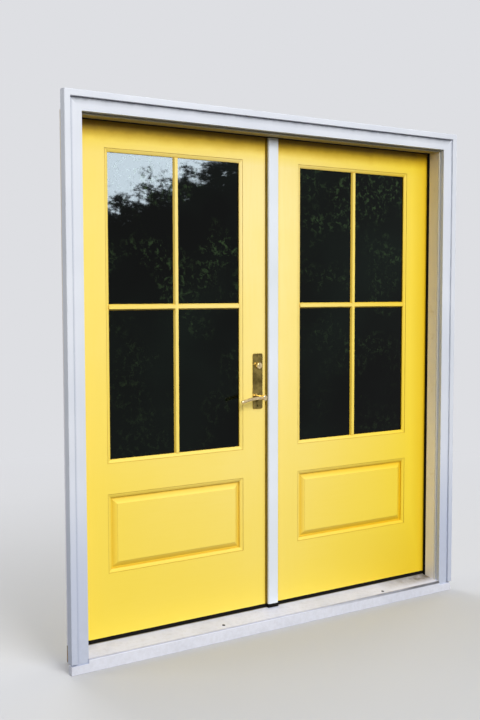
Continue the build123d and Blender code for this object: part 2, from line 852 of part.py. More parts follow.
def tubular_case(z, bolt_width, bolt_height, hole):
    """Tubular case with its front plate, bored for its bolt and for what works the bolt."""
    radius = edge_bore_radius - case_clearance
    tube = rod_x(mid_y, z, radius, lock_x - case_tail, -meeting_x - front_thickness)
    half_w, half_h = bolt_width / 2 + bolt_clearance, bolt_height / 2 + bolt_clearance
    bore = block(lock_x + case_web, -meeting_x, mid_y - half_w, mid_y + half_w, z - half_h, z + half_h)
    return case_front(z) + tube - bore - hole


def latch_case():
    radius = spindle_side * 2 ** -0.5 + bolt_clearance
    return tubular_case(lever_z, latch_width, latch_height, rod_y(lock_x, lever_z, radius, face_y, back_y))


def deadbolt_case():
    radius = tailpiece_width / 2 + bolt_clearance
    return tubular_case(dead_z, dead_width, dead_height, rod_y(lock_x, dead_z, radius, face_y, back_y))


def latch_bolt():
    """Sprung latch bolt, shot into its strike, with the sloping nose on the outdoor side."""
    tip = -meeting_x + latch_throw
    y0, y1 = mid_y - latch_width / 2, mid_y + latch_width / 2
    tail = -meeting_x - latch_length
    outline = [
        (tail, y0), (-meeting_x + 1.5, y0), (tip - 1.0, y1 - 2.0), (tip, y1 - 1.0), (tip, y1), (tail, y1),
    ]
    return prism_xy(outline, lever_z - latch_height / 2, lever_z + latch_height / 2)


def dead_bolt():
    tip = -meeting_x - bolt_inset
    solid = block(
        tip - dead_length, tip, mid_y - dead_width / 2, mid_y + dead_width / 2,
        dead_z - dead_height / 2, dead_z + dead_height / 2,
    )
    return chamfer(solid.faces().sort_by(Axis.X)[-1].edges(), 1.0)


def side_plate(surface_y, outward):
    """Long lock plate with a raised rose around the lever."""
    low, high = lever_z - plate_margin, dead_z + plate_margin
    y0, y1 = sorted((surface_y, surface_y + outward * plate_thickness))
    plate = block(lock_x - plate_width / 2, lock_x + plate_width / 2, y0, y1, low, high)
    plate = fillet(plate.edges().filter_by(Axis.Y), plate_corner)
    front = plate.faces().sort_by(Axis.Y)[0 if outward < 0 else -1]
    plate = chamfer(front.edges(), plate_bevel)
    crest = surface_y + outward * (plate_thickness + rose_height)
    r0, r1 = sorted((surface_y, crest))
    rose = rod_y(lock_x, lever_z, rose_radius, r0, r1)
    rim = rose.faces().sort_by(Axis.Y)[0 if outward < 0 else -1]
    rose = fillet(rim.edges(), 1.8)
    neck_hole = rod_y(lock_x, lever_z, neck_radius + neck_clearance, r0 - 1.0, r1 + 1.0)
    return plate + rose - neck_hole


def outside_plate():
    radius = cylinder_radius - cylinder_taper
    return side_plate(face_y, -1) - rod_y(lock_x, dead_z, radius, face_y - plate_thickness, face_y)


def inside_plate():
    radius = turn_stem_radius + neck_clearance
    return side_plate(back_y, 1) - rod_y(lock_x, dead_z, radius, back_y, back_y + plate_thickness)


def key_cylinder():
    """Tapered collar and plug of the lock cylinder, with its keyway, and its body in the stile."""
    surface = face_y - plate_thickness
    front = surface - cylinder_height
    collar_plane = Plane((lock_x, surface, dead_z), x_dir=(1, 0, 0), z_dir=(0, -1, 0))
    collar = loft([
        collar_plane * Circle(cylinder_radius),
        collar_plane.offset(cylinder_height) * Circle(cylinder_radius - cylinder_taper),
    ])
    collar = fillet(collar.edges().filter_by(GeomType.CIRCLE).sort_by(Axis.Y)[0], 1.2)
    body = rod_y(lock_x, dead_z, cylinder_radius - cylinder_taper, surface, mid_y - edge_bore_radius)
    plug = rod_y(lock_x, dead_z, plug_radius, front - plug_step, front)
    keyway = block(
        lock_x - keyway_width / 2, lock_x + keyway_width / 2, front - plug_step - 1.0, front + keyway_depth,
        dead_z - keyway_height / 2, dead_z + keyway_height / 2,
    )
    return collar + body + plug - keyway


def thumb_turn():
    """Oval turn on a collar indoors, with the tailpiece that works the dead bolt."""
    surface = back_y + plate_thickness
    crest = surface + turn_collar_height
    collar = rod_y(lock_x, dead_z, turn_collar_radius, surface + turn_end_clearance, crest)
    collar = fillet(collar.edges().filter_by(GeomType.CIRCLE).sort_by(Axis.Y)[-1], 1.5)
    stem = rod_y(lock_x, dead_z, turn_stem_radius, back_y - turn_stem_depth, crest)
    outline = Plane((lock_x, crest, dead_z), x_dir=(1, 0, 0), z_dir=(0, 1, 0))
    paddle = extrude(outline * SlotOverall(turn_length, turn_thickness, rotation=90), amount=turn_width)
    far = paddle.faces().sort_by(Axis.Y)[-1]
    paddle = fillet(far.edges(), 2.0)
    tail = rod_y(lock_x, dead_z, tailpiece_width / 2, seat_y, back_y)
    return collar + stem + paddle + tail


def lever(surface_y, outward):
    """Lever handle: neck, rounded hub and a gently drooping arm of oval section."""
    arm_y = surface_y + outward * lever_reach
    low_y, high_y = sorted((surface_y - outward * neck_depth, arm_y))
    neck = rod_y(lock_x, lever_z, neck_radius, low_y, high_y)
    hub = rod_y(lock_x, lever_z, hub_radius, arm_y - hub_half_depth, arm_y + hub_half_depth)
    hub = fillet(hub.edges().filter_by(GeomType.CIRCLE), 2.5)
    start = Vector(lock_x, arm_y, lever_z)
    middle = Vector(lock_x - lever_length * 0.5, arm_y, lever_z - lever_droop * 0.15)
    end = Vector(lock_x - lever_length + lever_half_height, arm_y, lever_z - lever_droop)
    path = ThreePointArc(start, middle, end)
    section_plane = Plane(origin=start, z_dir=path % 0, x_dir=(0, 1, 0))
    arm = sweep(section_plane * Ellipse(lever_half_depth, lever_half_height), path=path)
    tip = Pos(end) * scale(Sphere(1), by=(lever_half_height, lever_half_depth, lever_half_height))
    return neck + hub + arm + tip - spindle()


def spindle():
    half = spindle_side / 2
    return block(lock_x - half, lock_x + half, face_y, back_y, lever_z - half, lever_z + half)


def lock_stile_cuts():
    cuts = []
    for z in (lever_z, dead_z):
        cuts.append(rod_y(lock_x, z, cross_bore_radius, face_y, back_y))
        cuts.append(rod_x(mid_y, z, edge_bore_radius, lock_x, -meeting_x))
        cuts.append(case_front(z))
    return cuts


def build():
    nodes = {}
    nodes["sill_base"] = sill_base()
    nodes["threshold_cap"] = threshold_cap() - sill_strike_blank() - sill_socket()
    nodes["sill_deck"] = sill_deck()
    nodes["sill_nosing"] = sill_nosing()
    nodes["jamb_right"] = jamb_right()
    nodes["jamb_left"] = flip(nodes["jamb_right"])
    nodes["jamb_head"] = jamb_head()
    nodes["seal_right"] = seal_right()
    nodes["seal_left"] = flip(nodes["seal_right"])
    nodes["seal_head"] = seal_head()
    nodes["casing_right"] = casing_right()
    nodes["casing_left"] = flip(nodes["casing_right"])
    nodes["casing_head"] = casing_head()
    nodes["backband_right"] = backband_right()
    nodes["backband_left"] = flip(nodes["backband_right"])
    nodes["backband_head"] = backband_head()

    members = leaf_members()
    recess = hinge_mortise(hinge_x - hinge_plate, hinge_x + 1.0)
    members["hinge_stile"] = members["hinge_stile"] - [flip(cut) for cut in recess]
    leaf_pieces = {
        **members,
        "panel": raised_panel(),
        "panes": panes(),
        "spacer": spacer(),
        "grilles": [grille(seat_y, -1), grille(pane_inner_y, 1)],
        "glazing_beads": glazing_beads(),
        "sweep": door_sweep(),
    }
    for name, piece in leaf_pieces.items():
        pieces = piece if isinstance(piece, list) else [piece]
        nodes["active_" + name] = pieces
        nodes["passive_" + name] = [flip(item) for item in pieces]
    nodes["active_lock_stile"] = nodes.pop("active_meeting_stile")[0] - lock_stile_cuts()
    pockets = [
        latch_pocket(latch_throw - meeting_x + latch_pocket_room),
        dead_pocket(dead_throw - meeting_x + dead_pocket_room),
    ]
    nodes["passive_meeting_stile"] = nodes["passive_meeting_stile"][0] - (pockets + flush_bores())
    nodes["passive_sweep"] = nodes["passive_sweep"][0] - bolt_socket(0, leaf_bottom + 1.0)

    right_hinges = [hinge_parts(z) for z in hinge_levels]
    nodes["jamb_hinge_leaves"] = [parts[0] for parts in right_hinges]
    nodes["passive_hinge_leaves"] = [parts[1] for parts in right_hinges]
    nodes["hinge_pins"] = [parts[2] for parts in right_hinges]
    nodes["active_hinge_leaves"] = [flip(item) for item in nodes["passive_hinge_leaves"]]
    nodes["jamb_hinge_leaves"] += [flip(item) for item in nodes["jamb_hinge_leaves"]]
    nodes["hinge_pins"] += [flip(item) for item in nodes["hinge_pins"]]

    nodes["astragal"] = astragal()
    nodes["astragal_seal"] = astragal_seal()
    nodes["lock_strikes"] = lock_strikes()
    nodes["flush_bolt_plates"] = flush_plates()
    nodes["flush_bolt_strikes"] = flush_strikes()
    nodes["top_flush_bolt"] = flush_bolt(flush_bolts["top"])
    nodes["bottom_flush_bolt"] = flush_bolt(flush_bolts["bottom"])

    nodes["latch_case"] = latch_case()
    nodes["deadbolt_case"] = deadbolt_case()
    nodes["latch_bolt"] = latch_bolt()
    nodes["dead_bolt"] = dead_bolt()
    nodes["outside_plate"] = outside_plate()
    nodes["inside_plate"] = inside_plate()
    nodes["key_cylinder"] = key_cylinder()
    nodes["thumb_turn"] = thumb_turn()
    nodes["outside_lever"] = lever(face_y, -1)
    nodes["inside_lever"] = lever(back_y, 1)
    nodes["lever_spindle"] = spindle()
    return nodes


os.makedirs("parts", exist_ok=True)
for node, shape in build().items():
    pieces = shape if isinstance(shape, list) else [shape]
    solids = [solid for piece in pieces for solid in piece.solids()]
    whole = solids[0] if len(solids) == 1 else Compound(children=solids)
    export_step(whole, f"parts/{node}.step")
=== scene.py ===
import math

import bmesh
import bpy
from mathutils import Matrix, Vector


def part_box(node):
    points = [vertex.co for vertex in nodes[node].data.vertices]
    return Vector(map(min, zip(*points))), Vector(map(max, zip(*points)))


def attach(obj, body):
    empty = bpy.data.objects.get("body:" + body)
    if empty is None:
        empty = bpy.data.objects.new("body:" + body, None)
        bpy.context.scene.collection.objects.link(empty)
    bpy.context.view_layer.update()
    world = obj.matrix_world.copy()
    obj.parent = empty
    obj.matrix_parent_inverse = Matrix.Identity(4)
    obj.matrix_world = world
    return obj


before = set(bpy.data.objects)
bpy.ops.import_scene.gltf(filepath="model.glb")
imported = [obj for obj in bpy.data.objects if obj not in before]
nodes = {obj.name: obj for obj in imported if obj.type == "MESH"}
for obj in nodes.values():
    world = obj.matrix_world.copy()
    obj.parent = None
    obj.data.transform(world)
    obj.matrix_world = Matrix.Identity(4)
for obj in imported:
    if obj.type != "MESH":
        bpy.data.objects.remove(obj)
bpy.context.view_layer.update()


def srgb(r, g, b):
    """Linear colour from 0 to 255 display values."""
    def one(v):
        v /= 255.0
        return v / 12.92 if v <= 0.04045 else ((v + 0.055) / 1.055) ** 2.4
    return one(r), one(g), one(b)


# Camera, at the photograph's place and angle, in metres, radians and pixels of the photograph
CAMERA_PLACE = Vector((-2.56882, -3.46905, 1.42460))
CAMERA_YAW, CAMERA_PITCH, CAMERA_ROLL = 0.5994725, 0.0705119, -0.0015747
FOCAL_PX, IMAGE_HEIGHT_PX = 1025.0164, 720.0
SHIFT_PX = (2.6156, 5.5983)
SENSOR_MM = 36.0
CLIP_START, CLIP_END = 0.05, 100.0


def make_camera():
    """Make the scene's camera from its place and its three angles."""
    data = bpy.data.cameras.new("camera")
    camera = bpy.data.objects.new("camera", data)
    bpy.context.scene.collection.objects.link(camera)
    bpy.context.scene.camera = camera
    ahead = Vector((
        math.sin(CAMERA_YAW) * math.cos(CAMERA_PITCH),
        math.cos(CAMERA_YAW) * math.cos(CAMERA_PITCH),
        -math.sin(CAMERA_PITCH),
    ))
    right = Vector((math.cos(CAMERA_YAW), -math.sin(CAMERA_YAW), 0.0))
    up = right.cross(ahead)
    c, s = math.cos(CAMERA_ROLL), math.sin(CAMERA_ROLL)
    right, up = c * right + s * up, -s * right + c * up
    turn = Matrix((right, up, -ahead)).transposed()
    camera.matrix_world = Matrix.Translation(CAMERA_PLACE) @ turn.to_4x4()
    data.sensor_width = SENSOR_MM
    data.lens = FOCAL_PX * SENSOR_MM / IMAGE_HEIGHT_PX
    data.shift_x = -SHIFT_PX[0] / IMAGE_HEIGHT_PX
    data.shift_y = SHIFT_PX[1] / IMAGE_HEIGHT_PX
    data.clip_start, data.clip_end = CLIP_START, CLIP_END


# Node trees
PAINT_GRAIN = {"X": (6.0, 90.0, 90.0), "Z": (90.0, 90.0, 6.0)}
METAL_GRAIN = {"X": (4.0, 300.0, 300.0), "Z": (300.0, 300.0, 4.0)}
CREVICE_SAMPLES = 8


class Graph:
    """A short way to write a node tree. A value is a number, a colour or a node's output."""

    def __init__(self, tree, source=("ShaderNodeTexCoord", "Object")):
        self.tree = tree
        self.where = self.node(*source)

    def put(self, socket, value):
        """Link or set one input."""
        if isinstance(value, bpy.types.NodeSocket):
            self.tree.links.new(value, socket)
        elif isinstance(value, (tuple, list)) and len(value) == 3 and socket.type == "RGBA":
            socket.default_value = (*value, 1.0)
        else:
            socket.default_value = value

    def node(self, kind, output=0, inputs=None, **settings):
        """Add a node with these settings and inputs, and give back one of its outputs."""
        node = self.tree.nodes.new(kind)
        for key, value in settings.items():
            setattr(node, key, value)
        for key, value in (inputs or {}).items():
            self.put(node.inputs[key], value)
        return node.outputs[output]

    def show(self, kind, surface):
        """Add the tree's output node and link the finished shader to it."""
        self.put(self.tree.nodes.new(kind).inputs["Surface"], surface)

    def scaled(self, scale):
        """The coordinates, stretched."""
        return self.node("ShaderNodeMapping", "Vector", {"Vector": self.where, "Scale": scale})

    def noise(self, scale, detail, rough, vector=None, warp=0.0):
        return self.node("ShaderNodeTexNoise", "Fac", {
            "Vector": self.where if vector is None else vector, "Scale": scale,
            "Detail": detail, "Roughness": rough, "Distortion": warp,
        })

    def span(self, value, low, high, to_low=0.0, to_high=1.0, curve="LINEAR"):
        """Map a value from low and high to to_low and to_high, and hold it between them."""
        return self.node("ShaderNodeMapRange", "Result", {
            "Value": value, "From Min": low, "From Max": high, "To Min": to_low, "To Max": to_high,
        }, interpolation_type=curve)

    def math(self, kind, *values):
        return self.node("ShaderNodeMath", 0, dict(enumerate(values)), operation=kind)

    def times(self, total, *others):
        """The product of all the values."""
        for other in others:
            total = self.math("MULTIPLY", total, other)
        return total

    def mix(self, factor, a, b):
        """Colour a, with b over it by the factor."""
        inputs = {"Factor": factor, "A": a, "B": b}
        return self.node("ShaderNodeMix", "Result", inputs, data_type="RGBA")

    def mix_shaders(self, factor, first, second):
        return self.node("ShaderNodeMixShader", 0, {0: factor, 1: first, 2: second})

    def axis(self, name):
        return self.node("ShaderNodeSeparateXYZ", name, {0: self.where})

    def ragged_height(self, spread, scale, detail, rough):
        """Height, made uneven by up to spread either way."""
        offset = self.span(self.noise(scale, detail, rough), 0.3, 0.7, -spread, spread)
        return self.math("ADD", self.axis("Z"), offset)

    def crevice_shade(self, reach, closed, clear, strength):
        """How much painted shade goes in the grooves: strength where closed in, none where clear.
        """
        inputs = {"Distance": reach}
        openness = self.node("ShaderNodeAmbientOcclusion", "AO", inputs, samples=CREVICE_SAMPLES)
        return self.span(openness, closed, clear, strength, 0.0)

    def bump(self, height, strength, distance, under=None):
        inputs = {"Strength": strength, "Distance": distance, "Height": height}
        if under is not None:
            inputs["Normal"] = under
        return self.node("ShaderNodeBump", "Normal", inputs)

    def seen_directly(self):
        """One for camera, glossy and transmission rays, none for the rest."""
        path = self.tree.nodes.new("ShaderNodeLightPath")
        total = path.outputs["Is Camera Ray"]
        for name in ("Is Glossy Ray", "Is Transmission Ray"):
            total = self.math("MAXIMUM", total, path.outputs[name])
        return total


class Surface(Graph):
    """A material with one Principled shader."""

    def __init__(self, name):
        self.material = bpy.data.materials.new(name)
        self.material.use_nodes = True
        self.material.node_tree.nodes.clear()
        super().__init__(self.material.node_tree)
        self.shader = self.tree.nodes.new("ShaderNodeBsdfPrincipled")
        self.show("ShaderNodeOutputMaterial", self.shader.outputs["BSDF"])

    def set(self, **values):
        """Set the shader's inputs by name, and give back the material."""
        for key, value in values.items():
            self.put(self.shader.inputs[key.replace("_", " ")], value)
        return self.material

    def strokes(self, along):
        """Streaks of a brush that ran along X or Z."""
        return self.noise(1.0, 4.0, 0.62, self.scaled(PAINT_GRAIN[along]))

    def brushed(self, tone, strokes, brush, smoothest, roughest, gloss):
        """Finish as brushed paint, with a fine tooth over the strokes."""
        under = self.bump(strokes, brush, 0.0009)
        return self.set(
            Base_Color=tone,
            Roughness=self.span(strokes, 0.3, 0.8, smoothest, roughest),
            Specular_IOR_Level=gloss,
            Normal=self.bump(self.noise(420.0, 2.0, 0.5), 0.04, 0.0004, under),
        )


# Yellow paint of the leaves: the paint's colours, its painted sheen and painted shade, and the
# places where they change, in metres
BASE_YELLOW, SHEEN_YELLOW = srgb(242, 212, 40), srgb(246, 227, 153)
HEAD_SHADE_GOLD, HEAD_SHADE_BROWN = srgb(206, 158, 0), srgb(96, 66, 0)
EDGE_SHADE_GOLD, STROKE_YELLOW = srgb(214, 171, 8), srgb(238, 208, 56)
GROOVE_SHADE_BROWN, SUNK_SHADE_GOLD = srgb(188, 143, 0), srgb(234, 188, 4)

LEAF_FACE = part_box("active_lock_stile")[0][1]
OUTDOOR_HALF_ENDS = 0.0976
SUNK_DEPTHS = (LEAF_FACE + 0.0008, LEAF_FACE + 0.0095)
SHEEN_LEFT, SHEEN_RIGHT = (-0.92, -0.10), (0.06, 0.90)
SHEEN_HEIGHTS, SHEEN_UNDER_HEAD = (0.10, 1.70), (2.06, 1.955)
GOLD_HEIGHTS, BROWN_HEIGHTS = (2.000, 2.046), (2.036, 2.076)
RIGHT_EDGE_SHADE, RIGHT_FOOT_SHADE_ACROSS, RIGHT_FOOT_SHADE_HEIGHTS = (0.815, 0.910), (0.20, 0.80), (0.10, 0.42)


def painted_sheen(g):
    """How much painted sheen the leaves get: most by the meeting stiles, less towards the left and
    the foot, least under the head and at the right edge.
    """
    across, up = g.axis("X"), g.axis("Z")
    from_left = g.span(across, *SHEEN_LEFT, 0.48, 1.0)
    from_right = g.span(across, *SHEEN_RIGHT, 1.0, 0.06)
    height = g.span(up, *SHEEN_HEIGHTS, 0.30, 1.0)
    under_head = g.span(up, *SHEEN_UNDER_HEAD)
    mottle = g.span(g.noise(3.1, 3.0, 0.5), 0.3, 0.7, 0.88, 1.06)
    return g.times(g.math("MINIMUM", from_left, from_right), height, under_head, mottle)


def leaf_paint(name, along):
    """Yellow satin paint, brushed along the board, with a painted sheen, and painted shade under
    the head, at the right and in the grooves.
    """
    g = Surface(name)
    strokes = g.strokes(along)
    across, depth, up = g.axis("X"), g.axis("Y"), g.axis("Z")
    # Painted sheen over the base yellow
    tone = g.mix(painted_sheen(g), BASE_YELLOW, SHEEN_YELLOW)

    # The painted shade under the head, golden first and brown above
    height = g.ragged_height(0.005, 17.0, 4.0, 0.6)
    tone = g.mix(g.span(height, *GOLD_HEIGHTS, 0.0, 0.72), tone, HEAD_SHADE_GOLD)
    tone = g.mix(g.span(height, *BROWN_HEIGHTS, 0.0, 0.82), tone, HEAD_SHADE_BROWN)

    # Painted shade, a deeper gold, at the right edge and the right foot
    right_edge_shade = g.span(across, *RIGHT_EDGE_SHADE, 0.0, 0.62)
    right_foot_shade = g.times(
        g.span(across, *RIGHT_FOOT_SHADE_ACROSS), g.span(up, *RIGHT_FOOT_SHADE_HEIGHTS, 0.42, 0.0),
    )
    tone = g.mix(g.math("MAXIMUM", right_edge_shade, right_foot_shade), tone, EDGE_SHADE_GOLD)
    tone = g.mix(g.span(strokes, 0.42, 0.75, 0.0, 0.10), tone, STROKE_YELLOW)

    # Painted shade in the grooves and on the sunk mouldings of the outdoor side, deeper towards
    # the right
    tone = g.mix(g.crevice_shade(0.022, 0.48, 0.93, 0.72), tone, GROOVE_SHADE_BROWN)
    sunk = g.span(depth, *SUNK_DEPTHS, 0.0, 0.42)
    towards_right = g.span(across, -0.1, 0.7, 1.0, 1.6)
    outdoors = g.math("LESS_THAN", depth, OUTDOOR_HALF_ENDS)
    tone = g.mix(g.times(sunk, towards_right, outdoors), tone, SUNK_SHADE_GOLD)
    return g.brushed(tone, strokes, 0.14, 0.38, 0.50, 0.3)


# White paint: colours, edges in metres, and layers of dust, painted shade and painted shadow with
# an amount or an edge
WALL_WHITE, WALL_SHADE = srgb(219, 223, 232), srgb(206, 211, 222)
FLOOR_DUST, CORNER_SHADE, FOOT_SHADE = srgb(120, 108, 92), srgb(120, 128, 152), srgb(168, 178, 206)
BAND_SHADOW, LIP_SHADOW = srgb(52, 58, 76), srgb(24, 22, 26)
BAND_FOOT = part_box("casing_head")[1][2] - 0.016
LIP_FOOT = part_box("sill_deck")[0][2]


def dusty_foot(g, tone, most):
    """Specks of dust, thickest near the floor."""
    near_floor = g.span(g.axis("Z"), 0.02, 0.30, most, 0.0)
    specks = g.span(g.noise(38.0, 5.0, 0.7), 0.42, 0.62)
    return g.mix(g.times(near_floor, specks), tone, FLOOR_DUST)


def shaded_corners(g, tone, most):
    """Grey painted shade in the corners, less towards the right."""
    towards_right = g.span(g.axis("X"), -0.9, 0.9, 1.0, 0.12)
    return g.mix(g.times(g.crevice_shade(0.013, 0.62, 0.985, most), towards_right), tone, CORNER_SHADE)


def shaded_foot(g, tone, most):
    """Duller, bluer painted shade towards the foot."""
    return g.mix(g.span(g.axis("Z"), 0.35, 0.85, most, 0.0), tone, FOOT_SHADE)


def band_shadow_line(g, tone, edge):
    """A soft painted shadow close under an edge at this height."""
    height = g.ragged_height(0.002, 24.0, 3.0, 0.6)
    soft = g.span(height, edge - 0.026, edge - 0.006, 0.0, 0.32)
    close = g.span(height, edge - 0.012, edge - 0.002, 0.0, 0.56)
    return g.mix(g.math("ADD", soft, close), tone, BAND_SHADOW)


def shadow_under_lip(g, tone, edge):
    """A thin painted shadow under a lip at this height, stronger towards the right."""
    line = g.span(g.axis("Z"), edge - 0.0065, edge - 0.0025, 0.0, 0.85)
    towards_right = g.span(g.axis("X"), 0.1, 0.8, 0.10, 1.0)
    return g.mix(g.times(line, towards_right), tone, LIP_SHADOW)


def paint(name, colour, shade, along, rough, brush, *layers):
    """Brushed satin paint with faint strokes and a slow change of tone, and its layers."""
    g = Surface(name)
    strokes = g.strokes(along)
    tone = g.mix(g.span(g.noise(2.3, 3.0, 0.5), 0.35, 0.70), colour, shade)
    tone = g.mix(g.span(strokes, 0.42, 0.75, 0.0, 0.22), tone, shade)
    for layer, amount in layers:
        tone = layer(g, tone, amount)
    return g.brushed(tone, strokes, brush, rough - 0.05, rough + 0.08, 0.5)


# Cream paint of the jambs, with painted shade and painted light
JAMB_FOOT_LIGHT, JAMB_FRONT_SHADE, JAMB_SCUFF = srgb(232, 232, 240), srgb(150, 146, 128), srgb(176, 160, 130)


def jamb_paint(name, along, top, foot):
    """Old cream paint with scuffs, going from the foot colour up to the top colour, with painted
    light near the foot and painted shade at its front edge.
    """
    g = Surface(name)
    strokes = g.strokes(along)
    tone = g.mix(g.span(g.ragged_height(0.15, 2.7, 3.0, 0.5), 0.8, 1.95), foot, top)
    tone = g.mix(g.span(g.axis("Z"), 0.10, 0.45, 0.35, 0.0), tone, JAMB_FOOT_LIGHT)
    tone = g.mix(g.span(g.axis("Y"), 0.0008, 0.003, 0.8, 0.0), tone, JAMB_FRONT_SHADE)
    scuffs = g.span(g.noise(14.0, 5.0, 0.7), 0.60, 0.78, 0.0, 0.35)
    return g.set(
        Base_Color=g.mix(scuffs, tone, JAMB_SCUFF),
        Roughness=g.span(strokes, 0.3, 0.8, 0.45, 0.58),
        Normal=g.bump(strokes, 0.10, 0.0008),
    )


# Rubber, metal, wood and glass, with painted shade along the sill deck's lip and a painted
# reflection of leaves in the glass
RUBBER_FOOT = srgb(8, 6, 4)
SWEEP_HEIGHTS = (0.082, 0.094)
METAL_DUST, LIP_SHADE, CORNER_DARK = srgb(110, 98, 80), srgb(34, 31, 32), srgb(104, 96, 84)
LIP_FRONT, LIP_DEPTH = -0.0225, 0.0045
WOOD_PALE, WOOD_DARK, WOOD_STREAK = srgb(176, 148, 108), srgb(146, 116, 80), srgb(112, 86, 58)
GLASS_DARK, GLASS_PALE, REFLECTED_LEAVES = srgb(1, 2, 1), srgb(6, 12, 8), srgb(52, 70, 40)


def rubber(name, colour, dusty_colour):
    """Matt rubber, black at the foot where it drags on the sill."""
    g = Surface(name)
    fine = g.noise(260.0, 3.0, 0.6)
    tone = g.mix(g.span(g.noise(9.0, 4.0, 0.6), 0.45, 0.75), colour, dusty_colour)
    return g.set(
        Base_Color=g.mix(g.span(g.axis("Z"), *SWEEP_HEIGHTS), RUBBER_FOOT, tone),
        Roughness=g.span(fine, 0.2, 0.8, 0.65, 0.85),
        Specular_IOR_Level=0.15,
        Normal=g.bump(fine, 0.12, 0.0005),
    )


def brass(name, colour, dark, rough, tarnish):
    """Brass with clouds of tarnish and fine upright lines."""
    g = Surface(name)
    cloud = g.noise(34.0, 4.0, 0.6)
    lines = g.noise(1.0, 3.0, 0.6, g.scaled((260.0, 260.0, 30.0)))
    return g.set(
        Base_Color=g.mix(g.span(cloud, 0.40, 0.70, 0.0, tarnish), colour, dark),
        Metallic=1.0,
        Roughness=g.span(cloud, 0.3, 0.7, rough, rough + 0.12),
        Normal=g.bump(lines, 0.05, 0.0003),
    )


def dusty_metal(g, tone, most):
    """Specks of dust all over."""
    return g.mix(g.span(g.noise(55.0, 6.0, 0.72), 0.48, 0.66, 0.0, most), tone, METAL_DUST)


def shaded_lip(g, tone, front):
    """Painted shade along the front lip of the sill deck, stronger towards the right, and a darker
    mottled patch in its right-hand corner.
    """
    across, depth = g.axis("X"), g.axis("Y")
    edge = g.span(depth, front, front + LIP_DEPTH, 1.0, 0.0)
    patchy = g.span(g.noise(11.0, 4.0, 0.6), 0.3, 0.7, 0.60, 1.0)
    towards_right = g.span(across, 0.1, 0.9, 0.22, 1.0)
    tone = g.mix(g.times(edge, patchy, towards_right), tone, LIP_SHADE)
    corner = g.times(g.span(across, 0.58, 0.84), g.span(depth, -0.008, 0.035))
    mottle = g.span(g.noise(21.0, 5.0, 0.7), 0.35, 0.60, 0.45, 1.0)
    return g.mix(g.times(corner, mottle), tone, CORNER_DARK)


def metal(name, colour, dark, rough, along, metallic, *layers):
    """Rolled or brushed metal with fine lines and slow clouds, and its layers of dust and painted
    shade.
    """
    g = Surface(name)
    lines = g.noise(1.0, 3.0, 0.6, g.scaled(METAL_GRAIN[along]))
    tone = g.mix(g.span(g.noise(7.0, 4.0, 0.6), 0.38, 0.72), colour, dark)
    for layer, amount in layers:
        tone = layer(g, tone, amount)
    return g.set(
        Base_Color=tone,
        Metallic=metallic,
        Roughness=g.span(lines, 0.3, 0.7, rough, rough + 0.12),
        Normal=g.bump(lines, 0.10, 0.0004),
    )


def raw_wood(name):
    """Bare wood with rings and streaks along X."""
    g = Surface(name)
    rings = g.node("ShaderNodeTexWave", "Fac", {
        "Vector": g.scaled((0.6, 14.0, 14.0)), "Scale": 3.0, "Distortion": 6.0, "Detail": 2.0,
    })
    streaks = g.noise(1.0, 4.0, 0.6, g.scaled((9.0, 160.0, 160.0)))
    tone = g.mix(rings, WOOD_PALE, WOOD_DARK)
    return g.set(
        Base_Color=g.mix(g.span(streaks, 0.4, 0.7, 0.0, 0.5), tone, WOOD_STREAK),
        Roughness=0.7,
        Normal=g.bump(streaks, 0.25, 0.0006),
    )


def glass(name):
    """Insulating glass over a dark room: near black, glossy, with a faint painted reflection of
    leaves.
    """
    g = Surface(name)
    leaf_reflection = g.times(
        g.span(g.noise(34.0, 8.0, 0.74, warp=0.4), 0.52, 0.70),
        g.span(g.noise(4.5, 2.0, 0.5), 0.44, 0.60),
        g.span(g.axis("Z"), 1.05, 1.60, 0.25, 1.0),
    )
    dark = g.span(g.noise(1.7, 3.0, 0.5, warp=0.3), 0.38, 0.66)
    tone = g.mix(dark, GLASS_DARK, GLASS_PALE)
    return g.set(
        Base_Color=g.mix(g.times(leaf_reflection, 0.8), tone, REFLECTED_LEAVES),
        Roughness=0.02,
        IOR=1.5,
        Specular_IOR_Level=0.11,
        Normal=g.bump(g.noise(1.6, 1.0, 0.4), 0.05, 0.002),
    )


